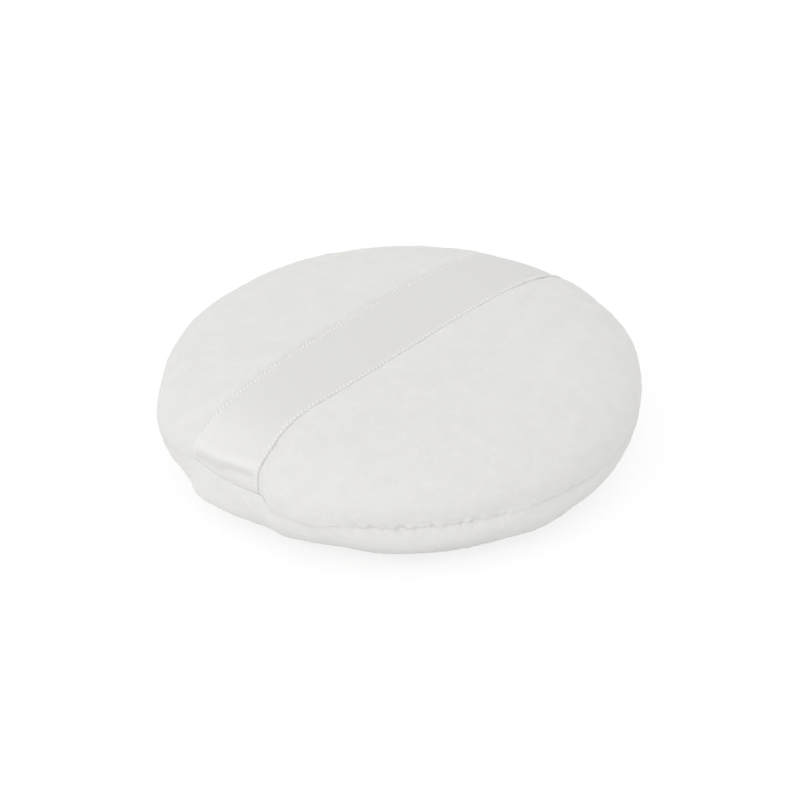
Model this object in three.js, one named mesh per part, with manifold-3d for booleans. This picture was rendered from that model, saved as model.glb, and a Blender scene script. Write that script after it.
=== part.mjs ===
// A round powder puff: two velour covers sewn edge to edge over a foam disc, with a satin ribbon laid
// across the crown. The ribbon's ends are caught in the seam, and a hand lifts its middle to hold the puff.
// Millimetres, +Z up. The origin is the middle of the flat that the puff lies on. The ribbon runs along Y.
import * as THREE from "three";
import { mergeVertices } from "three/addons/utils/BufferGeometryUtils.js";
import Module from "manifold-3d";

const wasm = await Module();
wasm.setup();

// The pad, measured over the pile
const PUFF_DIAMETER = 90;
const PUFF_HEIGHT = 23;
const SEAM_HEIGHT = 10;
const LIP_HEIGHT = 2.2; // from the seam to the widest ring of the cover above it, or below it
const GROOVE_DEPTH = 1.8; // how far the seam is drawn in from the widest rings
const BASE_DIAMETER = 60; // the flat that it lies on
const CROWN_FULLNESS = 2.8; // 2 is an ellipse, and more is fuller
const BASE_FULLNESS = 1.9;

// The covers: knitted ground and cut pile together, thinner where the seam squeezes them
const COVER_THICKNESS = 2.2;
const ALLOWANCE_WIDTH = 5;
const ALLOWANCE_THICKNESS = 1.2;

// The ribbon
const RIBBON_WIDTH = 16;
const RIBBON_THICKNESS = 0.4;
const RIBBON_OFFSET = 3.6; // from the middle of the puff to the ribbon's, towards -X
const RIBBON_SINK = 0.6; // how deep its underside lies in the pile

// How the ribbon draws the rim in and the seam up where its ends go in
const DRAW_DEPTH = 2;
const DRAW_SPREAD = 5; // beyond the ribbon's edges
const DRAW_REACH = 17; // from the rim towards the middle
const LIFT_HEIGHT = 1.6;
const LIFT_SPREAD = 13; // beyond the ribbon's edges
const LIFT_REACH = 8; // above and below the seam

// The threads
const THREAD_DIAMETER = 0.4;
const STITCH_LENGTH = 7;
const STITCH_INSET = 1.5; // from the drawn-in seam to the line of stitches
const LOOP_WIDTH = 0.8; // across the loop that dips into a stitch hole
const LOOP_FLARE = 0.15; // how much wider the loop is at its open end
const CLOSING_LENGTH = 45; // the turning gap, closed by hand
const CLOSING_PITCH = 3.2;
const CLOSING_ANGLE = THREE.MathUtils.degToRad(-34); // the middle of that gap, from +X
const CLOSING_SEAT = THREE.MathUtils.degToRad(40); // how far round the lip the thread lies in the groove

// Between neighbouring pieces
const FIT_GAP = 0.3;
const FOAM_GAP = 0.6; // between the foam and the covers
const SLOT_GAP = 1; // between the foam and the raw edges

// How finely the shapes are stepped
const ROUND_STEPS = 40;
const RIM_CROWDING = 0.25; // steps gather at the ribbon's two ends
const CROWN_STEPS = 8;
const LIP_STEPS = 3;
const LINING_STEPS = 6;
const BASE_STEPS = 5;
const RIBBON_COLUMNS = 3;
const SPAN_ROWS = 20;
const TAIL_ROWS = 6;
const THREAD_SIDES = 4;

// Worked out from these
const QUARTER = Math.PI / 2;
const PUFF_RADIUS = PUFF_DIAMETER / 2;
const BASE_RADIUS = BASE_DIAMETER / 2;
const SEAM_RADIUS = PUFF_RADIUS - GROOVE_DEPTH;
const EDGE_RADIUS = SEAM_RADIUS - ALLOWANCE_WIDTH; // the raw edges, inside the puff
const LINING_RADIUS = PUFF_RADIUS - COVER_THICKNESS;
const HALF_GAP = FIT_GAP / 2;
const UPPER_RING = SEAM_HEIGHT + LIP_HEIGHT;
const LOWER_RING = SEAM_HEIGHT - LIP_HEIGHT;
const ALLOWANCE_TOP = SEAM_HEIGHT + HALF_GAP + ALLOWANCE_THICKNESS;
const ALLOWANCE_BOTTOM = SEAM_HEIGHT - HALF_GAP - ALLOWANCE_THICKNESS;
const THREAD_RADIUS = THREAD_DIAMETER / 2;
const THREAD_ROOM = FIT_GAP + THREAD_DIAMETER + FIT_GAP; // what a thread lying on the allowance takes up
const STITCH_RADIUS = SEAM_RADIUS - STITCH_INSET;
const STITCH_COUNT = Math.round((2 * Math.PI * STITCH_RADIUS) / STITCH_LENGTH);

// A quarter of a rounded outline about (r0, z0), which reaches out to r1 and up or down to z1. The angle is 0
// at its top or bottom and a quarter turn at its widest.
function roundedPoint(r0, r1, z0, z1, fullness, angle) {
  const power = 2 / fullness;
  const out = Math.abs(Math.sin(angle)) ** power;
  const up = angle === QUARTER ? 0 : Math.abs(Math.cos(angle)) ** power;
  return new THREE.Vector2(r0 + (r1 - r0) * out, z0 + (z1 - z0) * up);
}

function rounded(r0, r1, z0, z1, fullness, from, to, steps) {
  return Array.from({ length: steps + 1 }, (_, i) =>
    roundedPoint(r0, r1, z0, z1, fullness, i === steps ? to : from + ((to - from) * i) / steps),
  );
}

// The angle at which such an outline reaches a height
function angleAt(z, z0, z1, fullness) {
  return Math.acos(((z - z0) / (z1 - z0)) ** (fullness / 2));
}

function ease(value, from, to) {
  return THREE.MathUtils.smoothstep(value, from, to);
}

function eachVertex(geometry, move) {
  const places = geometry.getAttribute("position");
  const point = new THREE.Vector3();
  for (let i = 0; i < places.count; i += 1) {
    point.fromBufferAttribute(places, i);
    move(point);
    places.setXYZ(i, point.x, point.y, point.z);
  }
  return geometry;
}

// The pull of the sewn ribbon on everything near its two ends: in towards the middle, and up at the seam
function drawnByRibbon(point) {
  const beside = Math.abs(point.x + RIBBON_OFFSET) - RIBBON_WIDTH / 2;
  const out = ease(Math.hypot(point.x, point.y), PUFF_RADIUS - DRAW_REACH, PUFF_RADIUS);
  const held = out * ease(point.z, 0, SEAM_HEIGHT); // nothing moves where the puff lies on its flat
  const inward = DRAW_DEPTH * held * (1 - ease(beside, 0, DRAW_SPREAD));
  const nearSeam = 1 - ease(Math.abs(point.z - SEAM_HEIGHT), 0, LIFT_REACH);
  point.y -= Math.sign(point.y) * inward;
  point.z += LIFT_HEIGHT * held * nearSeam * (1 - ease(beside, 0, LIFT_SPREAD));
}

// A profile turned about Z, with its steps gathered where the ribbon crosses the rim
function turned(profile) {
  const lathe = new THREE.LatheGeometry(profile, ROUND_STEPS).rotateX(QUARTER);
  return eachVertex(lathe, (point) => {
    const angle = Math.atan2(point.y, point.x);
    const reach = Math.hypot(point.x, point.y);
    const gathered = angle + RIM_CROWDING * Math.sin(2 * angle);
    point.set(reach * Math.cos(gathered), reach * Math.sin(gathered), point.z);
  });
}

function solidOf(geometry) {
  const bare = geometry.clone();
  bare.deleteAttribute("normal");
  bare.deleteAttribute("uv");
  const merged = mergeVertices(bare);
  return new wasm.Manifold(
    new wasm.Mesh({
      numProp: 3,
      vertProperties: new Float32Array(merged.getAttribute("position").array),
      triVerts: new Uint32Array(merged.getIndex().array),
    }),
  );
}

function geometryOf(solid) {
  const { numProp, vertProperties, triVerts } = solid.getMesh();
  const places = [];
  for (let i = 0; i < vertProperties.length; i += numProp) {
    places.push(...vertProperties.subarray(i, i + 3));
  }
  const geometry = new THREE.BufferGeometry();
  geometry.setAttribute("position", new THREE.Float32BufferAttribute(places, 3));
  geometry.setIndex([...triVerts]);
  return geometry;
}

function cut(geometry, cutters) {
  return geometryOf(cutters.reduce((left, cutter) => left.subtract(solidOf(cutter)), solidOf(geometry)));
}

// The covers and the foam

// A crowned shell: its edge turns in under the lip and lies on the seam as the allowance
function topCoverProfile() {
  const seam = SEAM_HEIGHT + HALF_GAP;
  const lining = PUFF_HEIGHT - COVER_THICKNESS;
  return [
    ...rounded(0, LINING_RADIUS, ALLOWANCE_TOP, lining, CROWN_FULLNESS, 0, QUARTER, LINING_STEPS),
    new THREE.Vector2(EDGE_RADIUS, ALLOWANCE_TOP),
    new THREE.Vector2(EDGE_RADIUS, seam),
    ...rounded(SEAM_RADIUS, PUFF_RADIUS, UPPER_RING, seam, 2, 0, QUARTER, LIP_STEPS),
    ...rounded(0, PUFF_RADIUS, UPPER_RING, PUFF_HEIGHT, CROWN_FULLNESS, QUARTER, 0, CROWN_STEPS).slice(1),
  ];
}

// A shallow dish with a flat base, closed at the rim by the same lip and allowance
function bottomCoverProfile() {
  const seam = SEAM_HEIGHT - HALF_GAP;
  const lining = COVER_THICKNESS;
  return [
    new THREE.Vector2(0, 0),
    ...rounded(BASE_RADIUS, PUFF_RADIUS, LOWER_RING, 0, BASE_FULLNESS, 0, QUARTER, BASE_STEPS),
    ...rounded(SEAM_RADIUS, PUFF_RADIUS, LOWER_RING, seam, 2, QUARTER, 0, LIP_STEPS).slice(1),
    new THREE.Vector2(EDGE_RADIUS, seam),
    new THREE.Vector2(EDGE_RADIUS, ALLOWANCE_BOTTOM),
    ...rounded(BASE_RADIUS, LINING_RADIUS, ALLOWANCE_BOTTOM, lining, BASE_FULLNESS, QUARTER, 0, BASE_STEPS),
    new THREE.Vector2(0, lining),
  ];
}

// The disc that fills both covers, with a slot round its rim for the allowances and their threads
function foamProfile() {
  const radius = LINING_RADIUS - FOAM_GAP;
  const slot = EDGE_RADIUS - SLOT_GAP;
  const slotTop = ALLOWANCE_TOP + THREAD_ROOM;
  const slotBottom = ALLOWANCE_BOTTOM - THREAD_ROOM;
  const crown = PUFF_HEIGHT - COVER_THICKNESS - FOAM_GAP;
  const base = COVER_THICKNESS + FOAM_GAP;
  const under = angleAt(slotBottom, ALLOWANCE_BOTTOM, base, BASE_FULLNESS);
  const over = angleAt(slotTop, ALLOWANCE_TOP, crown, CROWN_FULLNESS);
  return [
    new THREE.Vector2(0, base),
    ...rounded(BASE_RADIUS, radius, ALLOWANCE_BOTTOM, base, BASE_FULLNESS, 0, under, BASE_STEPS),
    new THREE.Vector2(slot, slotBottom),
    new THREE.Vector2(slot, slotTop),
    ...rounded(0, radius, ALLOWANCE_TOP, crown, CROWN_FULLNESS, over, 0, LINING_STEPS),
  ];
}

// The ribbon

// Where the ribbon runs, for a line at x across its width. Along it, 0 is the crown, 1 the widest ring, 2 the
// seam and 3 the raw edge, with a minus sign at the near end. Height is measured out from its underside.
function ribbonPoint(x, along, height) {
  const way = Math.abs(along);
  const lip = THREE.MathUtils.clamp(2 - way, 0, 1) * QUARTER;
  const sunk = THREE.MathUtils.lerp(-RIBBON_SINK, -RIBBON_THICKNESS / 2, THREE.MathUtils.clamp(way - 1, 0, 1));
  const place = new THREE.Vector2();
  const outward = new THREE.Vector2(0, -1);
  if (way <= 1) {
    const rise = PUFF_HEIGHT - UPPER_RING;
    const y = Math.sqrt(PUFF_RADIUS ** 2 - x ** 2) * Math.sin(way * QUARTER);
    const share = Math.min(Math.hypot(x, y) / PUFF_RADIUS, 1);
    const up = (1 - share ** CROWN_FULLNESS) ** (1 / CROWN_FULLNESS);
    const power = CROWN_FULLNESS - 1;
    place.set(y, UPPER_RING + rise * up);
    outward.set(share ** power / PUFF_RADIUS, up ** power / rise);
  } else {
    const turn = roundedPoint(SEAM_RADIUS, PUFF_RADIUS, UPPER_RING, SEAM_HEIGHT, 2, lip);
    const reach = turn.x - ALLOWANCE_WIDTH * Math.max(way - 2, 0);
    place.set(Math.sqrt(reach ** 2 - x ** 2), turn.y);
    outward.set(Math.sin(lip) / GROOVE_DEPTH, -Math.cos(lip) / LIP_HEIGHT);
  }
  place.addScaledVector(outward.normalize(), sunk + height);
  return new THREE.Vector3(x, (along < 0 ? -1 : 1) * place.x, place.y);
}

// A stretch of the ribbon between two places along it, with a gap added all round. Headroom is added above
// it, less and less from the widest ring down to the seam.
function ribbonStretch(from, to, rows, gap = 0, headroom = 0) {
  const width = RIBBON_WIDTH + 2 * gap;
  const thickness = RIBBON_THICKNESS + 2 * gap;
  const flat = new THREE.BoxGeometry(width, to - from, thickness, RIBBON_COLUMNS, rows, 1);
  return eachVertex(flat, (point) => {
    const along = point.y + (from + to) / 2;
    const open = point.z > 0 ? headroom * THREE.MathUtils.clamp(2 - Math.abs(along), 0, 1) : 0;
    point.copy(ribbonPoint(point.x - RIBBON_OFFSET, along, point.z + RIBBON_THICKNESS / 2 + open));
  });
}

// The room that a stretch needs in the covers, open to the air above the pile
function ribbonRoom(from, to, rows) {
  return ribbonStretch(from, to, rows, FIT_GAP, RIBBON_SINK);
}

const tailStart = 2 - Math.acos(FIT_GAP / LIP_HEIGHT) / QUARTER; // just below the end of the span
const tailEnd = 3;
const roomEnd = tailEnd + FIT_GAP / ALLOWANCE_WIDTH;
const spanRoom = ribbonRoom(-tailStart, tailStart, SPAN_ROWS);
const tailRooms = [ribbonRoom(-roomEnd, -1, TAIL_ROWS), ribbonRoom(1, roomEnd, TAIL_ROWS)];

// The threads

// A hole for each stitch, through both allowances and whatever lies between them
function stitchHoles() {
  const along = LOOP_WIDTH + 2 * (LOOP_FLARE + THREAD_RADIUS + FIT_GAP);
  const across = THREAD_DIAMETER + 2 * FIT_GAP;
  const deep = 2 * (HALF_GAP + ALLOWANCE_THICKNESS + FIT_GAP);
  return Array.from({ length: STITCH_COUNT }, (_, i) =>
    new THREE.BoxGeometry(across, along, deep)
      .translate(STITCH_RADIUS, 0, SEAM_HEIGHT)
      .rotateZ((2 * Math.PI * i) / STITCH_COUNT),
  );
}

// A closed tube through a ring of points about Z
function threadRing(points) {
  const places = [];
  const faces = [];
  points.forEach((point, i) => {
    const ahead = points[(i + 1) % points.length];
    const behind = points[(i + points.length - 1) % points.length];
    const run = ahead.clone().sub(behind).normalize();
    const side = new THREE.Vector3(point.x, point.y, 0).normalize();
    const up = side.clone().cross(run).normalize();
    for (let k = 0; k < THREAD_SIDES; k += 1) {
      const turn = (2 * Math.PI * k) / THREAD_SIDES;
      const out = side.clone().multiplyScalar(Math.cos(turn)).addScaledVector(up, Math.sin(turn));
      places.push(...point.clone().addScaledVector(out, THREAD_RADIUS));
      const here = i * THREAD_SIDES + k;
      const next = i * THREAD_SIDES + ((k + 1) % THREAD_SIDES);
      const step = (corner) => (corner + THREAD_SIDES) % (points.length * THREAD_SIDES);
      faces.push(here, step(here), next, next, step(here), step(next));
    }
  });
  const geometry = new THREE.BufferGeometry();
  geometry.setAttribute("position", new THREE.Float32BufferAttribute(places, 3));
  geometry.setIndex(faces);
  return geometry;
}

// One thread of the lockstitch: it lies on its allowance, and a loop of it goes into each stitch hole to
// meet the other thread half way. Side is 1 for the thread above the seam and -1 for the one below.
function seamThread(side) {
  const lies = SEAM_HEIGHT + side * (HALF_GAP + ALLOWANCE_THICKNESS + FIT_GAP + THREAD_RADIUS);
  const dips = SEAM_HEIGHT + side * (HALF_GAP + THREAD_RADIUS);
  const open = LOOP_WIDTH / 2 + LOOP_FLARE;
  const closed = LOOP_WIDTH / 2;
  const loop = [[-open, lies], [-closed, dips], [closed, dips], [open, lies]];
  const points = [];
  for (let i = 0; i < STITCH_COUNT; i += 1) {
    const turn = (2 * Math.PI * i) / STITCH_COUNT;
    for (const [along, height] of loop) {
      const place = new THREE.Vector3(STITCH_RADIUS, along, height);
      points.push(place.applyAxisAngle(new THREE.Vector3(0, 0, 1), turn));
    }
  }
  return threadRing(points);
}

// The hand-sewn ladder stitch that draws the turning gap shut: it crosses from lip to lip in the groove
function closingThread() {
  const seat = PUFF_RADIUS - GROOVE_DEPTH * (1 - Math.cos(CLOSING_SEAT));
  const opening = LIP_HEIGHT * (1 - Math.sin(CLOSING_SEAT));
  const swing = Math.max(opening - THREAD_RADIUS - FIT_GAP, 0);
  const stitches = Math.round(CLOSING_LENGTH / CLOSING_PITCH);
  const sweep = CLOSING_LENGTH / PUFF_RADIUS;
  const points = [];
  for (let i = 0; i <= 2 * stitches; i += 1) {
    const turn = CLOSING_ANGLE + sweep * (i / (2 * stitches) - 1 / 2);
    const height = SEAM_HEIGHT + swing * Math.sin(QUARTER * (i + 1 / 2));
    points.push(new THREE.Vector3(seat * Math.cos(turn), seat * Math.sin(turn), height));
  }
  const section = new THREE.Shape().absarc(0, 0, THREAD_RADIUS, 0, 2 * Math.PI);
  return new THREE.ExtrudeGeometry(section, {
    extrudePath: new THREE.CatmullRomCurve3(points),
    steps: 2 * stitches,
    curveSegments: THREAD_SIDES,
  });
}

// The assembly

const velour = new THREE.MeshStandardMaterial({ color: 0xe8e7e3, roughness: 0.95, metalness: 0 });
const satin = new THREE.MeshStandardMaterial({ color: 0xe3e2df, roughness: 0.4, metalness: 0 });
const foam = new THREE.MeshStandardMaterial({ color: 0xf2eddc, roughness: 0.9, metalness: 0 });
const thread = new THREE.MeshStandardMaterial({ color: 0xe6e4df, roughness: 0.7, metalness: 0 });

const holes = stitchHoles();
const puff = new THREE.Group();

function addPiece(name, geometry, material) {
  const mesh = new THREE.Mesh(eachVertex(geometry, drawnByRibbon), material.clone());
  mesh.name = name;
  puff.add(mesh);
}

addPiece("top_cover", cut(turned(topCoverProfile()), [spanRoom, ...tailRooms, ...holes]), velour);
addPiece("bottom_cover", cut(turned(bottomCoverProfile()), [...tailRooms, ...holes]), velour);
addPiece("foam_core", turned(foamProfile()), foam);
addPiece("ribbon_span", ribbonStretch(-1, 1, SPAN_ROWS), satin);
addPiece("ribbon_near_tail", cut(ribbonStretch(-tailEnd, -tailStart, TAIL_ROWS), holes), satin);
addPiece("ribbon_far_tail", cut(ribbonStretch(tailStart, tailEnd, TAIL_ROWS), holes), satin);
addPiece("needle_thread", seamThread(1), thread);
addPiece("bobbin_thread", seamThread(-1), thread);
addPiece("closing_thread", closingThread(), thread);

export default puff;
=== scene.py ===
import math

import bpy
import numpy as np
from mathutils import Matrix, Vector, noise


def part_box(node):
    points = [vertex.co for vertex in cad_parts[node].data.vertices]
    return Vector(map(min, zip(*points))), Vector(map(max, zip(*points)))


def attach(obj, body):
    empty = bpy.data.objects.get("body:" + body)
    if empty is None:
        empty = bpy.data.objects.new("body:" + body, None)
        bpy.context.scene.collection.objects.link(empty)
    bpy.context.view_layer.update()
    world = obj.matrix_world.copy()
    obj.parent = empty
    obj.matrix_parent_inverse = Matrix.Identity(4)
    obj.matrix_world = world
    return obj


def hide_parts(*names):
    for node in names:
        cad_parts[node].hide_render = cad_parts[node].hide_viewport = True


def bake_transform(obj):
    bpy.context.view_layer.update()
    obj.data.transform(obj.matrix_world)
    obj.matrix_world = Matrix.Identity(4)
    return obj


# A round powder puff: two cotton velour covers over a foam disc, with a satin ribbon sewn across the crown.
# Metres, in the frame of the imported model: +Z up, and the ribbon along Y with its near end at -Y.
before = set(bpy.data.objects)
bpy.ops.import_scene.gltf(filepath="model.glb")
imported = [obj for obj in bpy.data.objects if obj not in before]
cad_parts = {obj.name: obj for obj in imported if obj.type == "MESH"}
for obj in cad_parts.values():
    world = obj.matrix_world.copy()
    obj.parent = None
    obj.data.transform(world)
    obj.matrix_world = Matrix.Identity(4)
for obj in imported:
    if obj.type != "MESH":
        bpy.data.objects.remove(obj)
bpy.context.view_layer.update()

MM = 0.001
QUARTER = math.pi / 2
CRISP_ANGLE = math.radians(50)  # edges of the cloth sharper than this are left crisp
TINY = 1e-12  # keeps a division from failing where nothing moves
SEED_SHIFTS = (7.1, 3.7, 5.3)  # how far apart neighbouring seeds of the noise lie, along X, Y and Z

# The pad, measured over the pile
cover_low, cover_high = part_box("top_cover")
PUFF_RADIUS = (cover_high.x - cover_low.x) / 2
PUFF_HEIGHT = 23 * MM
SEAM_HEIGHT = 10 * MM
LIP_HEIGHT = 2.2 * MM  # from the seam to the widest ring of the cover above it, or below it
BASE_RADIUS = 30 * MM  # the flat that it lies on
CROWN_FULLNESS = 2.8  # 2 is an ellipse, and more is fuller
BASE_FULLNESS = 1.9
UPPER_RING = SEAM_HEIGHT + LIP_HEIGHT
LOWER_RING = SEAM_HEIGHT - LIP_HEIGHT
CROWN_RISE = PUFF_HEIGHT - UPPER_RING
FULLER_SHARE = 0.04  # how much higher the pad stands at its fullest side, as a share
FULLER_ANGLE = math.radians(43)  # that side, from +X

# The way along a cover's outline is 0 at the crown or at the flat's edge, 1 at the widest ring, and then:
SEWN_WAY = 1.75  # from here on the seam holds the cover
SEAM_WAY = 2
RAW_EDGE_WAY = 3
SAME_WAY = 1e-6  # two ways closer than this are the same

# Where the soft rim swells out of its round form, or in: the plan angle from +X in degrees, the height, how
# far it swells, and how wide and how tall the swelling is, in millimetres
SWELLS = (
    (-124, 11, 1.2, 9, 4.5),
    (-110, 7.5, -0.7, 4, 2),
    (-103, 6, 1.9, 4.5, 2.2),
    (-95, 4, 0.8, 6, 2.5),
    (-67, 3, -0.9, 10, 4),
    (-14, 3.5, 0.9, 7, 4),
    (22, 4.5, -0.8, 10, 3.5),
    (43, 14, 0.5, 14, 4),
)

# The seam: a shallow valley where it is sewn by machine. Where it is closed by hand it lies higher, and the
# thread draws a pit in it wherever it crosses from lip to lip. Part of that stretch is drawn tight.
VALLEY_DEPTH = 0.12 * MM
CORNER_VALLEY = 0.12 * MM  # how much deeper it is at the ribbon's near end
CORNER_SPREAD = 8 * MM  # to each side of the ribbon there
CLOSING_VALLEY = 0.6 * MM  # how much deeper it is where the hand stitches are drawn tight
CLOSING_LIFT = 0.6 * MM
CLOSING_LENGTH = 45 * MM
CLOSING_ANGLE = math.radians(-34)  # the middle of the hand-closed stretch, from +X
CLOSING_FADE = 5 * MM  # at each end of that stretch
FIRM_PLACE = -7 * MM  # the middle of the tightly drawn part, from the middle of that stretch
FIRM_REACH = 11 * MM  # to each side of it
FIRM_FADE = 8 * MM
CROSSING_PITCH = 1.7 * MM
CROSSING_STRAY = 0.3  # how far a crossing strays from its place, as a share of the pitch
CROSSING_WAVE = 2.4  # the straying is a sine, which goes on by this angle from one crossing to the next
PIT_DEPTH = 0.8 * MM
PIT_WIDTH = 0.45 * MM
PIT_HEIGHT = 0.95 * MM
PIT_STRAY = 0.25  # how much the pits' depths differ, as a share
PIT_WAVE = 1.7  # the same kind of angle for the depths
LOOSE_PIT = 0.15  # how deep a pit is where the thread is loose, as a share
ALLOWANCE_WIDTH = 5 * MM

# The ribbon
RIBBON_WIDTH = 16 * MM
RIBBON_THICKNESS = 0.16 * MM
RIBBON_OFFSET = -3.6 * MM  # it lies to one side of the middle
RIBBON_SINK = 0.5 * MM  # how deep its bed lies under the pile
NEAR_GATHER = 1.5 * MM  # how much its right edge is gathered in where it is narrowest
GATHER_PLACE = -31 * MM
GATHER_SPREAD = 10 * MM
NEAR_SINK = 0.25 * MM  # how much deeper the bed is at the near end's right corner
LIP_PARTING = 0.4 * MM  # the lips part over this much, in from the ribbon's edges and out from them
RIBBON_CLEARANCE = 0.03 * MM  # from the bed to the ribbon's underside
BED_SLOPE = 0.8 * MM  # the bed rises from this far inside the ribbon's edges
BED_EDGE = 1.5 * MM  # to this far outside them

# How the ribbon draws the rim in and the seam up where its ends go in
DRAW_DEPTH = 2.4 * MM
SLACK_SHARE = 0.6  # of that depth, at the near end's left corner, where the ribbon is slack
FAR_SHARE = 0.1  # at the far end
LOWER_SHARE = 0.95  # how far the lower cover is drawn in, as a share of the upper one's draw
DRAW_SPREAD = 5 * MM  # beyond the ribbon's edges
DRAW_REACH = 17 * MM  # from the rim towards the middle
LIFT_HEIGHT = 1.6 * MM
LIFT_SPREAD = 13 * MM  # beyond the ribbon's edges
LIFT_REACH = 8 * MM  # above and below the seam
DRAWN_SEAM = SEAM_HEIGHT + LIFT_HEIGHT

# The fold of slack ribbon at the near end: it bulges over the rim, and a wavy crease lies under the bulge
FOLD_BULGE = 0.7 * MM
FOLD_HEIGHT = 1.9 * MM  # from the crease to the fullest line of the bulge
FOLD_START = 1 * MM  # the fold and the crease die away over this height above the seam
CREASE_DEPTH = 0.35 * MM
CREASE_WIDTH = 0.8 * MM
CREASE_ROOM = 0.3 * MM  # how much further the pad gives way there, clear of the ribbon's edges
CREASE_FADE = 1 * MM  # the crease dies away this far in from the ribbon's edges
CREASE_LEFT = 12.6 * MM  # its height at the ribbon's left edge
CREASE_RIGHT = 15 * MM
CREASE_DIP = 1.2 * MM  # a wave in it, just left of the middle
DIP_PLACE = 0.4  # across the ribbon, as a share of its width
DIP_SPREAD = 0.11
CREASE_RISE = 0.4 * MM  # a smaller wave the other way, just right of the middle
RISE_PLACE = 0.6
RISE_SPREAD = 0.12

# The covers' cloth
COVER_THICKNESS = 1 * MM
COVER_RINGS = 52  # from the middle to the turned-in edge
ALLOWANCE_RINGS = 3  # the last of these, which turn in at the seam
SHOWN_ALLOWANCE = 0.5  # how much of the turned-in edge is made
RIM_CROWDING = 0.25  # how much closer together the rings lie at the rim than even ones, as a share
OUTLINE_SAMPLES = 4000
SWELL_LIMIT = 0.35 * MM  # the furthest that the filling pushes a point of the cover
SWELL_SCALE = 10  # the cloth is simulated this much larger, at a size that the solver handles well
SWELL_FRAMES = 20
SWELL_PRESSURE = 4

# The relief of the brushed pile: how far its tufts, clouds and hills stand out, their size, and a seed each
PILE_RELIEF = (
    (0.08 * MM, 1.2 * MM, 1),
    (0.12 * MM, 4 * MM, 2),
    (0.2 * MM, 16 * MM, 3),
)

# The ribbon's cloth
RIBBON_STEP = 0.5 * MM
RIBBON_COLUMNS = 20
RIBBON_SAMPLES = 6001
RIBBON_RIPPLE = 0.08 * MM
RIPPLE_SIZE = 9 * MM
RIPPLE_SEED = 5
SELVEDGE_RADIUS = 0.11 * MM
SELVEDGE_DROP = 0.08 * MM  # how deep it lies in the pile
WEFT_PITCH = 0.92 * MM
WEFT_SLANT = math.radians(62)  # from the ribbon's length
WEFT_LENGTH = 1.3 * MM
WEFT_BREADTH = 0.46 * MM
WEFT_RISES = (0.2 * MM, 0.34 * MM)  # on the left edge, where they lie flatter, and on the right
WEFT_INSET = 0.35 * MM
WEFT_SIDES = 8
WEFT_RINGS = 5

# The foam
FOAM_VOXEL = 1.2 * MM
FOAM_RELIEF = 0.12 * MM
FOAM_LUMP = 1.6 * MM
FOAM_SEED = 4

# The threads
PLY_RADIUS = 0.1 * MM
PLY_PITCH = 1.2 * MM
PLY_STEPS = 8  # in one turn of the twist
THREAD_INSET = 0.25 * MM  # from the lips' edge in to the thread between them
THREAD_SIDES = 8

# The patterns in the materials
CLOUD_SIZE = 3.5 * MM
TUFT_SIZE = 0.45 * MM
TUFT_RELIEF = 0.12 * MM
PILE_GLOW = 0.6 * MM  # how far light scatters in the pile
FLOAT_BREADTH = 0.25 * MM
FLOAT_LENGTH = 6 * MM
FLOAT_RELIEF = 0.02 * MM
CELL_SIZE = 0.8 * MM
CELL_RELIEF = 0.3 * MM
FIBRE_SIZE = 0.15 * MM
FIBRE_RELIEF = 0.03 * MM

# The stage. The floor glows white to the eye, and a little of the light that falls on it is added to that,
# so the puff's shadow shows faintly.
FLOOR_REACH = 3
FLOOR_DROP = 0.05 * MM  # how far it lies under the puff
FLOOR_GLOW = 0.75
FLOOR_SHADE = 0.3
WORLD_LIGHT = 0.867  # how strongly the white surroundings light the puff
WORLD_SEEN = 1  # how strong they are to the eye
LAMP_TARGET = Vector((0, 0, 0))

# The camera
CAMERA_AZIMUTH = math.radians(42.7)
CAMERA_ELEVATION = math.radians(33.2)
CAMERA_ROLL = math.radians(-1.63)
CAMERA_DISTANCE = 450 * MM
CAMERA_TARGET = Vector((-0.12 * MM, -0.11 * MM, 8.4 * MM))
FOCAL_LENGTH = 107  # in millimetres, and so is the sensor's width
SENSOR_WIDTH = 36
CLIP_START = 10 * MM


# Small helpers

def ease(value, start, end):
    """From 0 at the start to 1 at the end, with no corner at either."""
    share = np.clip((value - start) / (end - start), 0, 1)
    return share * share * (3 - 2 * share)


def unit(directions):
    """The same directions, each one long."""
    return directions / np.linalg.norm(directions, axis=-1, keepdims=True)


def turn_between(start, end):
    """The turn from one plan angle to another, half a turn at most either way."""
    return (end - start + math.pi) % (2 * math.pi) - math.pi


def round_points(reach, angle, height):
    return np.stack([reach * np.cos(angle), reach * np.sin(angle), height], axis=1)


def lengths_along(line):
    """The length of a line of points up to each of them."""
    return np.concatenate([[0], np.cumsum(np.linalg.norm(np.diff(line, axis=0), axis=1))])


def grid_faces(rows, columns):
    corner = (np.arange(rows - 1)[:, None] * columns + np.arange(columns - 1)).ravel()
    return np.stack([corner, corner + 1, corner + 1 + columns, corner + columns], axis=1)


def new_piece(name, points, faces):
    mesh = bpy.data.meshes.new(name)
    mesh.from_pydata(np.asarray(points).tolist(), [], [[int(corner) for corner in face] for face in faces])
    mesh.update()
    piece = bpy.data.objects.new(name, mesh)
    bpy.context.scene.collection.objects.link(piece)
    return piece


def points_of(mesh):
    flat = np.empty(len(mesh.vertices) * 3, np.float32)
    mesh.vertices.foreach_get("co", flat)
    return flat.reshape(-1, 3).astype(float)


def normals_of(mesh):
    flat = np.empty(len(mesh.vertices) * 3, np.float32)
    mesh.vertex_normals.foreach_get("vector", flat)
    return flat.reshape(-1, 3).astype(float)


def set_points(mesh, points):
    mesh.vertices.foreach_set("co", points.astype(np.float32).ravel())
    mesh.update()


def add_modifier(piece, kind, **settings):
    modifier = piece.modifiers.new(kind.title(), kind)
    for name, value in settings.items():
        setattr(modifier, name, value)
    return modifier


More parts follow.
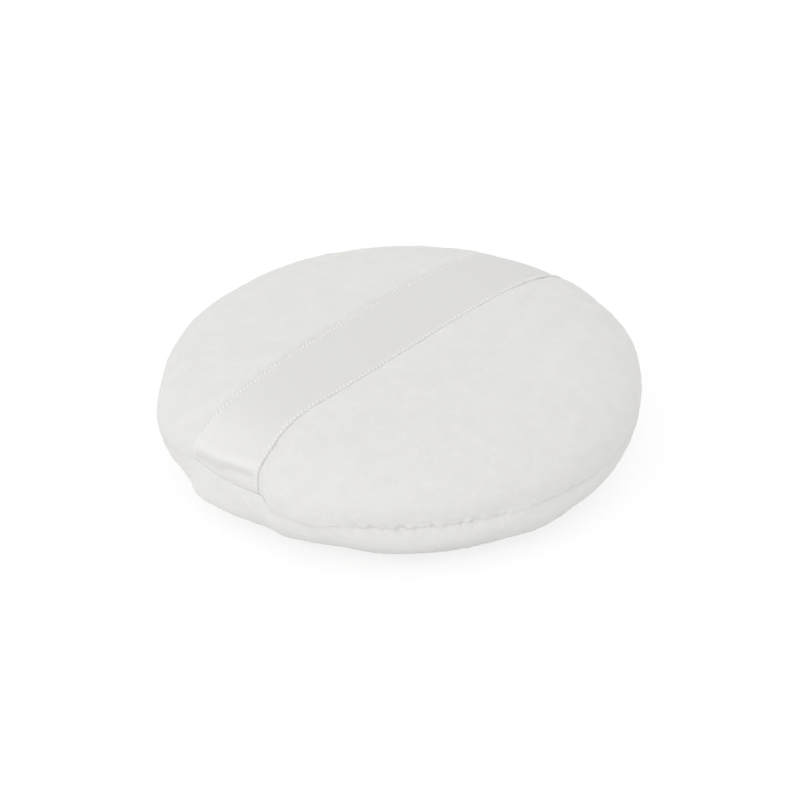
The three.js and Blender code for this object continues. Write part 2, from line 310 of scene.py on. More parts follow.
def apply_modifiers(piece):
    graph = bpy.context.evaluated_depsgraph_get()
    made = bpy.data.meshes.new_from_object(piece.evaluated_get(graph))
    made.name = piece.name
    piece.modifiers.clear()
    piece.data = made


def finish_piece(piece, material):
    piece.data.polygons.foreach_set("use_smooth", [True] * len(piece.data.polygons))
    piece.data.set_sharp_from_angle(angle=CRISP_ANGLE)
    piece.data.materials.clear()
    piece.data.materials.append(material)


def bumps(points, size, seed):
    """Smooth noise from -1 to 1 at each point, with lumps of about that size."""
    shift = Vector([seed * far for far in SEED_SHIFTS])
    return np.array([noise.noise(Vector(point) / size + shift) for point in points])


# Materials

# Mix colour nodes keep their colours in these inputs and give the result in this output
MIX_FACTOR, MIX_FIRST, MIX_SECOND, MIX_RESULT = 0, 6, 7, 2


def linear(colour):
    """An sRGB hex colour as linear red, green, blue and alpha."""
    shares = [int(colour[at:at + 2], 16) / 255 for at in (1, 3, 5)]
    return [s / 12.92 if s <= 0.04045 else ((s + 0.055) / 1.055) ** 2.4 for s in shares] + [1]


def add_node(tree, kind, inputs=None, **settings):
    """Adds one node. An input is given a value, or another node's output to link to."""
    node = tree.nodes.new(kind)
    for name, value in settings.items():
        setattr(node, name, value)
    for name, value in (inputs or {}).items():
        if isinstance(value, bpy.types.NodeSocket):
            tree.links.new(value, node.inputs[name])
        else:
            node.inputs[name].default_value = value
    return node


def new_material(name):
    material = bpy.data.materials.new(name)
    material.use_nodes = True
    material.node_tree.nodes.clear()
    return material, material.node_tree


def own_place(tree):
    """A point's place on its piece, in metres."""
    return add_node(tree, "ShaderNodeTexCoord").outputs["Object"]


def lumps(tree, place, size, detail, roughness):
    """Noise from 0 to 1, with lumps of about that size."""
    return add_node(tree, "ShaderNodeTexNoise", {
        "Vector": place, "Scale": 1 / size, "Detail": detail, "Roughness": roughness}).outputs["Fac"]


def mixed(tree, share, first, second):
    """Two colours, with that share of the second."""
    return add_node(tree, "ShaderNodeMix", {
        MIX_FACTOR: share, MIX_FIRST: first, MIX_SECOND: second}, data_type="RGBA").outputs[MIX_RESULT]


def raised(tree, height, strength, distance):
    """The direction of a surface that a pattern stands out of."""
    return add_node(tree, "ShaderNodeBump", {
        "Strength": strength, "Distance": distance, "Height": height}).outputs["Normal"]


def add_surface(tree, inputs, **settings):
    surface = add_node(tree, "ShaderNodeBsdfPrincipled", inputs, **settings)
    add_node(tree, "ShaderNodeOutputMaterial", {"Surface": surface.outputs["BSDF"]})


def cotton_velour():
    """Knitted cotton velour, its pile cut and brushed: matte and soft, faintly clouded where the pile leans,
    with tufts too fine to count, painted shade in the pits between them and a painted highlight on their
    tips, and a little sheen from the fibres' tips."""
    material, tree = new_material("cotton_velour_cut_pile")
    place = own_place(tree)
    cloud = lumps(tree, place, CLOUD_SIZE, detail=3, roughness=0.5)
    tuft = lumps(tree, place, TUFT_SIZE, detail=3, roughness=0.6)
    lean = mixed(tree, cloud, linear("#e4e3df"), linear("#efeeeb"))
    # The tufts' colour is painted shade in the pits between them and a painted highlight on their tips,
    # where the same noise sinks and rises in the bump
    pile = mixed(tree, tuft, linear("#d9d8d4"), linear("#ffffff"))
    add_surface(tree, {
        "Base Color": mixed(tree, 0.25, lean, pile), "Roughness": 0.95, "Specular IOR Level": 0.15,
        "Sheen Weight": 0.12, "Sheen Roughness": 0.5, "Normal": raised(tree, tuft, 0.5, TUFT_RELIEF),
        "Subsurface Weight": 0.6, "Subsurface Radius": (1, 1, 1), "Subsurface Scale": PILE_GLOW},
        subsurface_method="BURLEY")
    return material


def polyester_satin(name, shaded, lit):
    """Woven polyester satin: long floats of bright filament along the ribbon, so a soft gloss with fine
    lines down its length."""
    material, tree = new_material(name)
    stretched = add_node(tree, "ShaderNodeMapping", {
        "Vector": own_place(tree), "Scale": (1 / FLOAT_BREADTH, 1 / FLOAT_LENGTH, 1 / FLOAT_LENGTH)})
    floats = lumps(tree, stretched.outputs["Vector"], size=1, detail=2, roughness=0.6)
    add_surface(tree, {
        "Base Color": mixed(tree, floats, linear(shaded), linear(lit)), "Roughness": 0.6,
        "Specular IOR Level": 0.4, "Sheen Weight": 0.05, "Normal": raised(tree, floats, 0.15, FLOAT_RELIEF)})
    return material


def cut_foam():
    """Polyurethane foam cut from a block: cream and matte, open cells all over."""
    material, tree = new_material("polyurethane_foam_open_cell")
    cells = add_node(tree, "ShaderNodeTexVoronoi", {
        "Vector": own_place(tree), "Scale": 1 / CELL_SIZE}).outputs["Distance"]
    add_surface(tree, {
        "Base Color": mixed(tree, cells, linear("#cfc6a8"), linear("#f4efdf")), "Roughness": 0.9,
        "Specular IOR Level": 0.2, "Normal": raised(tree, cells, 0.8, CELL_RELIEF)})
    return material


def spun_thread():
    """Spun polyester sewing thread: off-white, softly lustrous, with short stray fibres that roughen it."""
    material, tree = new_material("polyester_thread_spun")
    fibre = lumps(tree, own_place(tree), FIBRE_SIZE, detail=2, roughness=0.5)
    add_surface(tree, {
        "Base Color": mixed(tree, fibre, linear("#d5d3cd"), linear("#ebeae6")), "Roughness": 0.65,
        "Specular IOR Level": 0.4, "Sheen Weight": 0.1, "Normal": raised(tree, fibre, 0.4, FIBRE_RELIEF)})
    return material


VELOUR = cotton_velour()
SATIN = polyester_satin("polyester_satin_woven", "#e0dfdd", "#e5e4e2")
# A lighter copy of the satin for the selvedges: painted highlight where the turned weft and the round edge
# catch the light
TURNED_WEFT_HIGHLIGHT = polyester_satin("polyester_filament_turned_weft_painted_highlight", "#e5e4e2", "#eeedeb")
FOAM = cut_foam()
THREAD = spun_thread()


# The shape of the pad

def along_closing(angle):
    """How far round the rim a plan angle lies from the middle of the hand-closed stretch."""
    return turn_between(CLOSING_ANGLE, angle) * PUFF_RADIUS


def closed_by_hand(angle):
    """1 where the seam is closed by hand and 0 where it is sewn by machine."""
    return 1 - ease(abs(along_closing(angle)), CLOSING_LENGTH / 2, CLOSING_LENGTH / 2 + CLOSING_FADE)


def drawn_tight(along):
    """How tight the hand stitches are, from 0 to 1, that far from the middle of their stretch."""
    return 1 - ease(abs(along - FIRM_PLACE), FIRM_REACH, FIRM_REACH + FIRM_FADE)


def seam_shape(angle):
    """How deep the seam's valley is at a plan angle, and how far each lip stands from the seam to let the
    ribbon in."""
    beside = beside_ribbon(PUFF_RADIUS * np.cos(angle), PUFF_RADIUS * np.sin(angle))
    parted = 1 - ease(beside, -LIP_PARTING, LIP_PARTING)
    corner = CORNER_VALLEY * (1 - ease(beside, 0, CORNER_SPREAD)) * (angle < 0)
    valley = VALLEY_DEPTH + corner + CLOSING_VALLEY * drawn_tight(along_closing(angle))
    return valley, parted * (RIBBON_THICKNESS / 2 + RIBBON_CLEARANCE)


def fuller(x, y):
    """How many times its height the pad stands there: more towards its fullest side."""
    towards = x * math.cos(FULLER_ANGLE) + y * math.sin(FULLER_ANGLE)
    return 1 + FULLER_SHARE * ease(towards, 0, PUFF_RADIUS)


def thread_pits(points):
    """How far the hand-sewn thread draws the cloth in, in a pit at each crossing. No two are spaced or drawn
    alike."""
    x, y, z = points.T
    angle = np.arctan2(y, x)
    last = round(CLOSING_LENGTH / 2 / CROSSING_PITCH)
    crossing = np.arange(-last, last + 1)
    place = (crossing + CROSSING_STRAY * np.sin(CROSSING_WAVE * crossing)) * CROSSING_PITCH
    uneven = 1 - PIT_STRAY + PIT_STRAY * np.sin(PIT_WAVE * crossing)
    drawn = uneven * (LOOSE_PIT + (1 - LOOSE_PIT) * drawn_tight(place))
    away = (along_closing(angle)[:, None] - place) / PIT_WIDTH
    above = (z / fuller(x, y) - SEAM_HEIGHT - CLOSING_LIFT * closed_by_hand(angle)) / PIT_HEIGHT
    return PIT_DEPTH * np.exp(-above ** 2) * (np.exp(-away ** 2) @ drawn)


def top_cover_outline(way, valley=VALLEY_DEPTH, opening=0):
    """Reach and height of the upper cover at a way along it, 0 being the crown. The opening is how far its
    lip stands from the seam."""
    power = 2 / CROWN_FULLNESS
    crown = np.clip(way, 0, 1) * QUARTER
    lip = np.sin(np.clip(way - 1, 0, 1) * QUARTER)
    reach = PUFF_RADIUS * np.sin(crown) ** power - valley * ease(lip, 0, 1)
    height = UPPER_RING + CROWN_RISE * np.clip(np.cos(crown), 0, 1) ** power
    return reach - ALLOWANCE_WIDTH * np.clip(way - SEAM_WAY, 0, 1), height - (LIP_HEIGHT - opening) * lip


def bottom_cover_outline(way, valley=VALLEY_DEPTH, opening=0):
    """The same for the lower cover. The way along it is -1 in the middle of the flat and 0 at its edge."""
    power = 2 / BASE_FULLNESS
    turn = np.clip(way, 0, 1) * QUARTER
    lip = np.sin(np.clip(way - 1, 0, 1) * QUARTER)
    reach = BASE_RADIUS * np.clip(way + 1, 0, 1) + (PUFF_RADIUS - BASE_RADIUS) * np.sin(turn) ** power
    reach = reach - valley * ease(lip, 0, 1) - ALLOWANCE_WIDTH * np.clip(way - SEAM_WAY, 0, 1)
    height = LOWER_RING * (1 - np.clip(np.cos(turn), 0, 1) ** power)
    return reach, height + (LIP_HEIGHT - opening) * lip


def ribbon_edges(y):
    """How far to the side the ribbon's left and right edges lie."""
    gathered = NEAR_GATHER * np.exp(-((y - GATHER_PLACE) / GATHER_SPREAD) ** 2)
    return RIBBON_OFFSET - RIBBON_WIDTH / 2, RIBBON_OFFSET + RIBBON_WIDTH / 2 - gathered


def beside_ribbon(x, y):
    """How far outside the ribbon's nearer edge a point lies."""
    left, right = ribbon_edges(y)
    return np.maximum(left - x, x - right)


def across_ribbon(x, y):
    """0 at the ribbon's left edge and 1 at its right edge."""
    left, right = ribbon_edges(y)
    return np.clip((x - left) / (right - left), 0, 1)


def drawn_by_sewing(points, share=1):
    """The pull of the sewn ribbon on everything near its two ends, in towards the middle and up at the seam,
    the lift of the seam where it is closed by hand, and the swell of the filling."""
    x, y, z = points.T
    beside = beside_ribbon(x, y)
    held = ease(np.hypot(x, y), PUFF_RADIUS - DRAW_REACH, PUFF_RADIUS) * ease(z, 0, SEAM_HEIGHT)
    slack = np.where(y < 0, SLACK_SHARE + (1 - SLACK_SHARE) * across_ribbon(x, y), FAR_SHARE)
    inward = DRAW_DEPTH * share * slack * held * (1 - ease(beside, 0, DRAW_SPREAD))
    near_seam = 1 - ease(abs(z - SEAM_HEIGHT), 0, LIFT_REACH)
    lifted = LIFT_HEIGHT * held * (1 - ease(beside, 0, LIFT_SPREAD))
    lifted += CLOSING_LIFT * held * closed_by_hand(np.arctan2(y, x))
    drawn = np.stack([x, y - np.sign(y) * inward, (z + lifted * near_seam) * fuller(x, y)], axis=1)
    return pushed_out(drawn, swelling(drawn))


def bed_depth(points):
    """How deep the ribbon's bed lies under the pile: deeper towards the near end's right corner, and nothing
    at the seam."""
    x, y, z = points.T
    at_rim = ease(np.hypot(x, y), PUFF_RADIUS - DRAW_REACH, PUFF_RADIUS - DRAW_DEPTH)
    deeper = at_rim * NEAR_SINK * across_ribbon(x, y) * (y < 0)
    pressed = 1 - ease(beside_ribbon(x, y), -BED_SLOPE, BED_EDGE)
    return (RIBBON_SINK + deeper) * pressed * ease(z, DRAWN_SEAM, UPPER_RING + LIP_HEIGHT)


def near_end_fold(points, room=0):
    """How far the slack ribbon stands out from the rim above its crease, and in at the crease. Under it the
    pad leaves the crease that much room."""
    x, y, z = points.T
    across = across_ribbon(x, y)
    inside = 1 - ease(beside_ribbon(x, y), -CREASE_FADE - CREASE_WIDTH, -CREASE_FADE / 2)
    wave = CREASE_RISE * np.exp(-((across - RISE_PLACE) / RISE_SPREAD) ** 2)
    wave -= CREASE_DIP * np.exp(-((across - DIP_PLACE) / DIP_SPREAD) ** 2)
    above = z - CREASE_LEFT - (CREASE_RIGHT - CREASE_LEFT) * across
    bulge = FOLD_BULGE * np.exp(-((above - FOLD_HEIGHT) / FOLD_HEIGHT) ** 2)
    crease = inside * (CREASE_DEPTH * np.exp(-((above - wave) / CREASE_WIDTH) ** 2) + room)
    above_seam = ease(z, DRAWN_SEAM, DRAWN_SEAM + FOLD_START)
    near_end = ease(-y, PUFF_RADIUS - DRAW_REACH / 2, PUFF_RADIUS - DRAW_DEPTH)
    return above_seam * near_end * (bulge - crease)


def swelling(points):
    """How far the soft rim stands out of its round form."""
    x, y, z = points.T
    angle = np.arctan2(y, x)
    far = np.zeros_like(x)
    for degrees, height, bulge, width, tallness in SWELLS:
        aside = turn_between(math.radians(degrees), angle) * PUFF_RADIUS / (width * MM)
        above = (z / MM - height) / tallness
        far += bulge * MM * np.exp(-aside ** 2 - above ** 2)
    return far * ease(np.hypot(x, y), PUFF_RADIUS - DRAW_REACH, PUFF_RADIUS)


def pushed_out(points, far):
    """The points moved away from the puff's axis, each by its own distance."""
    x, y, z = points.T
    grown = 1 + far / np.maximum(np.hypot(x, y), MM)
    return np.stack([x * grown, y * grown, z], axis=1)


# The covers

def disc_grid(rings):
    """A square grid bent into a disc: each point's ring, from 0 in the middle to 1 at the edge, its plan
    angle, and the faces."""
    line = np.linspace(-1, 1, 2 * rings + 1)
    across, along = (side.ravel() for side in np.meshgrid(line, line))
    ring = np.maximum(abs(across), abs(along))
    across, along = (side / np.where(ring == 0, 1, ring) for side in (across, along))
    turn = math.pi / 4 * across * along
    left_or_right = (across < 0) * math.pi + turn
    near_or_far = np.sign(along) * QUARTER - turn
    angle = np.where(abs(across) >= abs(along), left_or_right, near_or_far)
    return ring, angle, grid_faces(len(line), len(line))


def ring_ways(ring, outline, first):
    """The way along an outline at a ring from 0 to 1. The last rings turn in at the seam, and the others
    come closer together towards it."""
    seam_ring = 1 - ALLOWANCE_RINGS / COVER_RINGS
    ways = np.linspace(first, SEAM_WAY, OUTLINE_SAMPLES)
    length = lengths_along(np.stack(outline(ways), axis=1))
    share = np.minimum(ring / seam_ring, 1)
    outside = np.interp((share + RIM_CROWDING * share * (1 - share)) * length[-1], length, ways)
    return outside + np.maximum(ring - seam_ring, 0) / (1 - seam_ring) * SHOWN_ALLOWANCE


def crease_seam(cover, way):
    """Keeps the edge that turns in at the seam sharp when the mesh is made finer."""
    at_seam = abs(way - SEAM_WAY) < SAME_WAY
    ends = np.empty(len(cover.data.edges) * 2, np.int32)
    cover.data.edges.foreach_get("vertices", ends)
    sharp = cover.data.attributes.new("crease_edge", "FLOAT", "EDGE")
    sharp.data.foreach_set("value", at_seam[ends.reshape(-1, 2)].all(axis=1).astype(np.float32))


def swollen(points, faces, sewn):
    """The cover as its filling blows it out between the lines where it is sewn or held down."""
    cloth = new_piece("cover_cloth", points * SWELL_SCALE, faces)
    held = cloth.vertex_groups.new(name="sewn")
    held.add(np.flatnonzero(sewn).tolist(), 1, "REPLACE")
    settings = add_modifier(cloth, "CLOTH").settings
    settings.vertex_group_mass = held.name
    settings.quality = 6
    settings.mass = 0.1
    settings.tension_stiffness = 40
    settings.compression_stiffness = 40
    settings.shear_stiffness = 20
    settings.bending_stiffness = 5
    settings.use_pressure = True
    settings.uniform_pressure_force = SWELL_PRESSURE
    settings.effector_weights.gravity = 0
    for number in range(1, SWELL_FRAMES + 1):
        bpy.context.scene.frame_set(number)
    graph = bpy.context.evaluated_depsgraph_get()
    blown = points_of(cloth.evaluated_get(graph).data) / SWELL_SCALE
    bpy.context.scene.frame_set(1)
    bpy.data.objects.remove(cloth)
    move = blown - points
    far = np.linalg.norm(move, axis=1)
    limited = SWELL_LIMIT * np.tanh(far / SWELL_LIMIT) / np.maximum(far, TINY)
    return points + move * limited[:, None]


def pile_lift(points):
    """How far the brushed pile stands above or below its mean, with none of it in the pinch of the seam."""
    lift = sum(height * bumps(points, size, seed) for height, size, seed in PILE_RELIEF)
    return lift * ease(abs(points[:, 2] - SEAM_HEIGHT), 0, LIP_HEIGHT / 2)


def under_ribbon(points):
    """How far the upper cover stands out or in: the pile, and the ribbon's bed and fold."""
    beside = beside_ribbon(points[:, 0], points[:, 1])
    folded = near_end_fold(points, CREASE_ROOM) * (1 - ease(beside, 0, BED_EDGE / 2))
    return pile_lift(points) * ease(beside, 0, BED_EDGE) + folded - bed_depth(points)


def finished_cover(name, points, faces, way, held_down, standing):
    """A cover from its bare points and their ways along its outline: swollen, made finer, given the relief
    that the function standing tells of, and given its thickness."""
    points = swollen(points, faces, held_down | (way > SEWN_WAY))
    cover = new_piece(name, points, faces)
    crease_seam(cover, way)
    add_modifier(cover, "SUBSURF", levels=1, render_levels=1)
    apply_modifiers(cover)
    places = points_of(cover.data)
    stood = places + normals_of(cover.data) * standing(places)[:, None]
    places = pushed_out(stood, -thread_pits(places))
    places[:, 2] = np.maximum(places[:, 2], 0)
    set_points(cover.data, places)
    add_modifier(cover, "SOLIDIFY", thickness=COVER_THICKNESS, offset=-1, use_even_offset=False)
    apply_modifiers(cover)
    finish_piece(cover, VELOUR)
    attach(cover, "pad")
    return cover


def top_cover():
    ring, angle, faces = disc_grid(COVER_RINGS)
    way = ring_ways(ring, top_cover_outline, 0)
    reach, height = top_cover_outline(way, *seam_shape(angle))
    points = drawn_by_sewing(round_points(reach, angle, height))
    held_down = beside_ribbon(points[:, 0], points[:, 1]) < 0
    cover = finished_cover("top_cover_velour", points, faces, way, held_down, under_ribbon)
    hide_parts("top_cover")


def bottom_cover():
    ring, angle, faces = disc_grid(COVER_RINGS)
    way = ring_ways(ring, bottom_cover_outline, -1)
    reach, height = bottom_cover_outline(way, *seam_shape(angle))
    points = drawn_by_sewing(round_points(reach, angle, height), LOWER_SHARE)
    held_down = reach < BASE_RADIUS / 2
    cover = finished_cover("bottom_cover_velour", points, faces[:, ::-1], way, held_down, pile_lift)
    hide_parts("bottom_cover")


# The ribbon

def ribbon_line(x, along):
    """The pad's surface under the ribbon, at x across it and a way along it, which is 0 at the crown and has
    a minus sign at the near end."""
    way = abs(along)
    valley = seam_shape(np.sign(along) * np.arccos(x / PUFF_RADIUS))[0]
    rim_reach, rim_height = top_cover_outline(np.maximum(way, 1), valley)
    crown_y = np.sqrt(PUFF_RADIUS ** 2 - x ** 2) * np.sin(np.minimum(way, 1) * QUARTER)
    share = np.minimum(np.hypot(x, crown_y) / PUFF_RADIUS, 1)
    crown_z = UPPER_RING + CROWN_RISE * (1 - share ** CROWN_FULLNESS) ** (1 / CROWN_FULLNESS)
    y = np.where(way <= 1, crown_y, np.sqrt(np.maximum(rim_reach ** 2 - x ** 2, 0)))
    z = np.where(way <= 1, crown_z, rim_height)
    return drawn_by_sewing(np.stack([x, np.sign(along) * y, z], axis=1))


def ribbon_ways():
    """Ways along the ribbon at even steps from seam to seam and in each tail, and its length."""
    ways = np.linspace(-RAW_EDGE_WAY, RAW_EDGE_WAY, RIBBON_SAMPLES)
    length = lengths_along(ribbon_line(np.full_like(ways, RIBBON_OFFSET), ways))
    stops = np.interp([-RAW_EDGE_WAY, -SEAM_WAY, SEAM_WAY, RAW_EDGE_WAY], ways, length)
    steps = [np.linspace(start, end, round((end - start) / RIBBON_STEP), endpoint=False)
             for start, end in zip(stops, stops[1:])]
    return np.interp(np.concatenate(steps + [stops[-1:]]), length, ways), length[-1]


def blend_ribbon(piece):
    """Bakes the piece's placement into its points."""
    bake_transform(piece)


def ribbon():
    ways, length = ribbon_ways()
    columns = np.linspace(0, 1, RIBBON_COLUMNS + 1)
    across, along = (side.ravel() for side in np.meshgrid(columns, ways))
    left, right = ribbon_edges(ribbon_line(np.full_like(along, RIBBON_OFFSET), along)[:, 1])
    bare = ribbon_line(left + across * (right - left), along)
    strip = new_piece("satin_ribbon", bare, grid_faces(len(ways), len(columns)))
    crease_seam(strip, abs(along))
    outward = normals_of(strip.data)
    lies = (RIBBON_CLEARANCE + RIBBON_THICKNESS / 2) * ease(bare[:, 2], DRAWN_SEAM, UPPER_RING)
    loose = 2 * across * (1 - across) * (abs(along) < 1)
    ripple = RIBBON_RIPPLE * (1 + bumps(bare, RIPPLE_SIZE, RIPPLE_SEED)) * loose
    stands = lies + ripple - bed_depth(bare) + near_end_fold(bare) * (abs(along) < SEAM_WAY)
    points = bare + outward * stands[:, None]
    set_points(strip.data, points)
    grid = (len(ways), len(columns), 3)
    shown = abs(ways) < SEAM_WAY
    woven_edge = selvedge(points.reshape(grid), normals_of(strip.data).reshape(grid), shown)
    add_modifier(strip, "SUBSURF", levels=1, render_levels=1)
    add_modifier(strip, "SOLIDIFY", thickness=RIBBON_THICKNESS, offset=0)
    apply_modifiers(strip)
    finish_piece(strip, SATIN)
    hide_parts("ribbon_span", "ribbon_near_tail", "ribbon_far_tail")
    blend_ribbon(strip)
    blend_ribbon(woven_edge)


def weft_stroke():
    """A short stroke of thread, round across and pointed at both ends along X: its points and faces."""
    turns = np.arange(WEFT_SIDES) * 2 * math.pi / WEFT_SIDES
    points = [(-1, 0, 0)]
    for slope in np.linspace(-QUARTER, QUARTER, WEFT_RINGS + 2)[1:-1]:
        points += [(math.sin(slope), math.cos(slope) * math.cos(turn), math.cos(slope) * math.sin(turn))
                   for turn in turns]
    points.append((1, 0, 0))
    last = len(points) - 1
    faces = []
    for side in range(WEFT_SIDES):
        step = (side + 1) % WEFT_SIDES
        faces.append((0, 1 + step, 1 + side))
        for ring in range(WEFT_RINGS - 1):
            here = 1 + ring * WEFT_SIDES
            faces.append((here + side, here + step, here + WEFT_SIDES + step, here + WEFT_SIDES + side))
        here = 1 + (WEFT_RINGS - 1) * WEFT_SIDES
        faces.append((here + side, here + step, last))
    return np.array(points), faces


def joined(meshes):
    """Several meshes, each of points and faces, as one."""
    points, faces = [], []
    for some_points, some_faces in meshes:
        first = sum(map(len, points))
        faces += [tuple(corner + first for corner in face) for face in some_faces]
        points.append(some_points)
    return np.concatenate(points), faces


def value_at(far, length, values):
    """What a row of points or directions is that far along its line."""
    return np.array([np.interp(far, length, values[:, axis]) for axis in range(3)])


def selvedge(points, outward, shown):
    """The woven edges: a thin round edge, and over it at each turn of the weft a short stroke, both coloured
    as a lighter copy of the satin, which is painted highlight. The strokes slant the same way at both edges."""
    stroke_points, stroke_faces = weft_stroke()
    made = []
    for column, side, rise in ((0, -1, WEFT_RISES[0]), (-1, 1, WEFT_RISES[1])):
        line, above = points[shown, column], outward[shown, column]
        length = lengths_along(line)
        made.append(thread_tube(line - above * SELVEDGE_DROP, above, SELVEDGE_RADIUS))
        for at in np.arange(WEFT_PITCH, length[-1] - WEFT_PITCH, WEFT_PITCH):
            ahead = value_at(at + WEFT_PITCH, length, line)
            behind = value_at(at - WEFT_PITCH, length, line)
            run = unit(ahead - behind)
            up = unit(value_at(at, length, above))
            across = np.cross(run, up)
            stroke = across * math.sin(WEFT_SLANT) - run * math.cos(WEFT_SLANT)
            axes = np.stack([stroke * WEFT_LENGTH, np.cross(up, stroke) * WEFT_BREADTH, up * rise]) / 2
            centre = value_at(at, length, line) + up * RIBBON_THICKNESS / 2 - across * side * WEFT_INSET
            made.append((centre + stroke_points @ axes, stroke_faces))
    edge = new_piece("ribbon_selvedges", *joined(made))
    # The edge and its strokes take the lighter copy of the satin, which is painted highlight
    finish_piece(edge, TURNED_WEFT_HIGHLIGHT)
    return edge


# The filling and the threads

def foam_core():
    """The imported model's foam disc, with an uneven surface."""
    core = bpy.data.objects.new("foam_core_block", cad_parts["foam_core"].data.copy())
    bpy.context.scene.collection.objects.link(core)
    add_modifier(core, "REMESH", mode="VOXEL", voxel_size=FOAM_VOXEL)
    apply_modifiers(core)
    places = points_of(core.data)
    places += normals_of(core.data) * (FOAM_RELIEF * bumps(places, FOAM_LUMP, FOAM_SEED))[:, None]
    set_points(core.data, places)
    finish_piece(core, FOAM)
    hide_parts("foam_core")
    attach(core, "pad")


def thread_tube(line, above, radius):
    """Points and faces of a round thread along a line. At each point of the line, above is a direction away
    from what it lies on."""
    run = unit(np.gradient(line, axis=0))
    side = unit(np.cross(run, above))
    up = np.cross(side, run)
    turns = np.arange(THREAD_SIDES)[:, None] * 2 * math.pi / THREAD_SIDES
    rings = line[:, None] + radius * (side[:, None] * np.cos(turns) + up[:, None] * np.sin(turns))
    count = len(line)
    faces = []
    for ring in range(count - 1):
        for turn in range(THREAD_SIDES):
            step = (turn + 1) % THREAD_SIDES
            here, there = ring * THREAD_SIDES, (ring + 1) * THREAD_SIDES
            faces.append((here + turn, there + turn, there + step, here + step))
    faces.append(tuple(range(THREAD_SIDES)))
    faces.append(tuple(reversed(range((count - 1) * THREAD_SIDES, count * THREAD_SIDES))))
    return rings.reshape(-1, 3), faces


def closing_thread():
    """The hand-sewn ladder stitch, two plies twisted together, which crosses from lip to lip in the seam."""
    along = np.arange(-CLOSING_LENGTH / 2, CLOSING_LENGTH / 2, PLY_PITCH / PLY_STEPS)
    angle = CLOSING_ANGLE + along / PUFF_RADIUS
    reach = PUFF_RADIUS - seam_shape(angle)[0] - THREAD_INSET
    height = SEAM_HEIGHT + PLY_RADIUS * np.sin(math.pi * along / CROSSING_PITCH)
    twist = 2 * math.pi * along / PLY_PITCH
    plies = []
    for start in (0, math.pi):
        out = reach + PLY_RADIUS * np.cos(twist + start)
        up = height + PLY_RADIUS * np.sin(twist + start)
        ply = drawn_by_sewing(round_points(out, angle, up))
        ply = pushed_out(ply, -thread_pits(ply))
        plies.append(thread_tube(ply, (0, 0, 1), PLY_RADIUS))
    thread = new_piece("hand_stitch_thread", *joined(plies))
    finish_piece(thread, THREAD)
    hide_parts("closing_thread")
    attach(thread, "pad")


def dress_node(name, material):
    """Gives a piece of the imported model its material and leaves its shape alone."""
    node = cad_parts[name]
    node.data.materials.clear()
    node.data.materials.append(material)


# The stage

def seen_rays(tree):
    """1 for rays that see, directly, in a gloss or through glass, and 0 for rays that carry light."""
    ray = add_node(tree, "ShaderNodeLightPath").outputs
    seen = ray["Is Camera Ray"]
    for kind in ("Is Glossy Ray", "Is Transmission Ray"):
        seen = add_node(tree, "ShaderNodeMath", {0: seen, 1: ray[kind]}, operation="MAXIMUM").outputs[0]
    return seen


def either(tree, lights, shows):
    """One shader for the rays that carry light, and another for those that see."""
    return add_node(tree, "ShaderNodeMixShader", {
        0: seen_rays(tree), 1: lights.outputs[0], 2: shows.outputs[0]}).outputs[0]


def floor():
    """A white sheet that the puff lies on: white to the eye, with a faint shadow, and pale to the light."""
    corners = [(x * FLOOR_REACH, y * FLOOR_REACH, 0) for x, y in ((-1, -1), (1, -1), (1, 1), (-1, 1))]
    sheet = new_piece("floor", corners, [(0, 1, 2, 3)])
    sheet.location.z = -FLOOR_DROP
    material, tree = new_material("white_paper_sheet")
    glow = add_node(tree, "ShaderNodeEmission", {"Color": linear("#ffffff"), "Strength": FLOOR_GLOW})
    shaded = add_node(tree, "ShaderNodeBsdfDiffuse", {"Color": (FLOOR_SHADE, FLOOR_SHADE, FLOOR_SHADE, 1)})
    shown = add_node(tree, "ShaderNodeAddShader", {0: glow.outputs[0], 1: shaded.outputs[0]})
    paper = add_node(tree, "ShaderNodeBsdfDiffuse", {"Color": linear("#f4f4f4")})
    add_node(tree, "ShaderNodeOutputMaterial", {"Surface": either(tree, paper, shown)})
    sheet.data.materials.append(material)


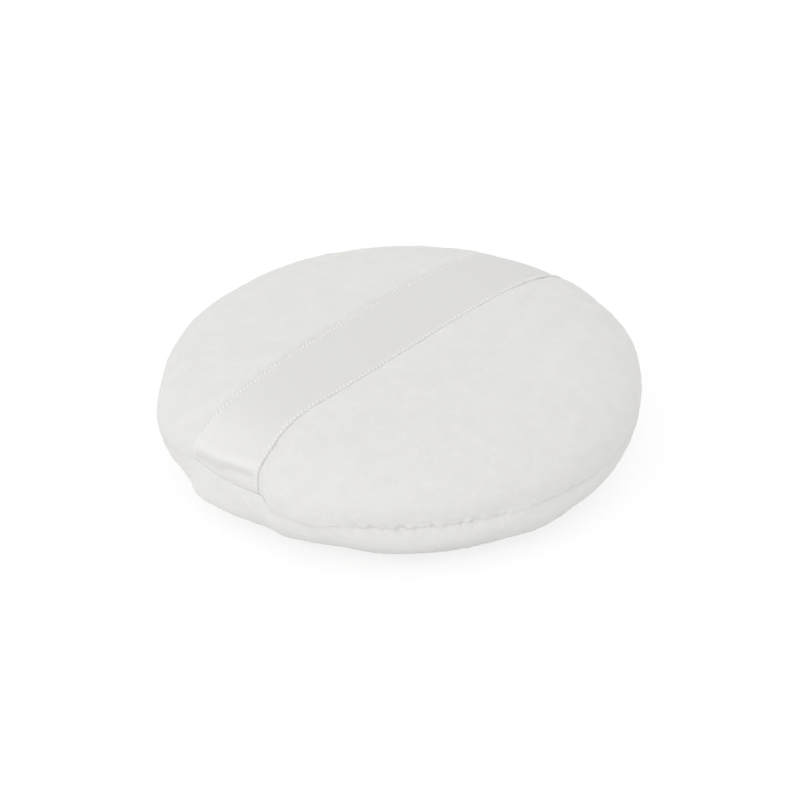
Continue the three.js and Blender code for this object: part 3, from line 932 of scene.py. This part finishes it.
def surroundings():
    """White to the eye all round, and an even light."""
    world = bpy.data.worlds.new("studio")
    bpy.context.scene.world = world
    world.use_nodes = True
    tree = world.node_tree
    tree.nodes.clear()
    light = add_node(tree, "ShaderNodeBackground", {"Color": linear("#ffffff"), "Strength": WORLD_LIGHT})
    shown = add_node(tree, "ShaderNodeBackground", {"Color": linear("#ffffff"), "Strength": WORLD_SEEN})
    add_node(tree, "ShaderNodeOutputWorld", {"Surface": either(tree, light, shown)})


def lamp(name, place, size, power, on_matte=True):
    """A square lamp aimed at the puff. One that is not on matte shows only as gloss."""
    light = bpy.data.lights.new(name, "AREA")
    light.size = size
    light.energy = power
    lit = bpy.data.objects.new(name, light)
    lit.location = place
    lit.visible_diffuse = on_matte
    lit.rotation_mode = "QUATERNION"
    lit.rotation_quaternion = (LAMP_TARGET - Vector(place)).to_track_quat("-Z", "Y")
    bpy.context.scene.collection.objects.link(lit)


def camera():
    lens = bpy.data.cameras.new("camera")
    lens.lens = FOCAL_LENGTH
    lens.sensor_width = SENSOR_WIDTH
    lens.clip_start = CLIP_START
    eye = bpy.data.objects.new("camera", lens)
    level = math.cos(CAMERA_ELEVATION)
    back = Vector((
        math.sin(CAMERA_AZIMUTH) * level, -math.cos(CAMERA_AZIMUTH) * level, math.sin(CAMERA_ELEVATION)))
    turn = (-back).to_track_quat("-Z", "Y").to_matrix().to_4x4()
    roll = Matrix.Rotation(CAMERA_ROLL, 4, "Z")
    eye.matrix_world = Matrix.Translation(CAMERA_TARGET + back * CAMERA_DISTANCE) @ turn @ roll
    bpy.context.scene.collection.objects.link(eye)
    bpy.context.scene.camera = eye


camera()
surroundings()
floor()
lamp("key_light", place=(0, -0.9, 0.6), size=0.5, power=1.4)
lamp("satin_light", place=(-0.6, -0.8, 0.45), size=1.6, power=33, on_matte=False)
bpy.context.scene.view_settings.view_transform = "Standard"

top_cover()
bottom_cover()
ribbon()
foam_core()
closing_thread()
for seam_thread in ("needle_thread", "bobbin_thread"):
    dress_node(seam_thread, THREAD)
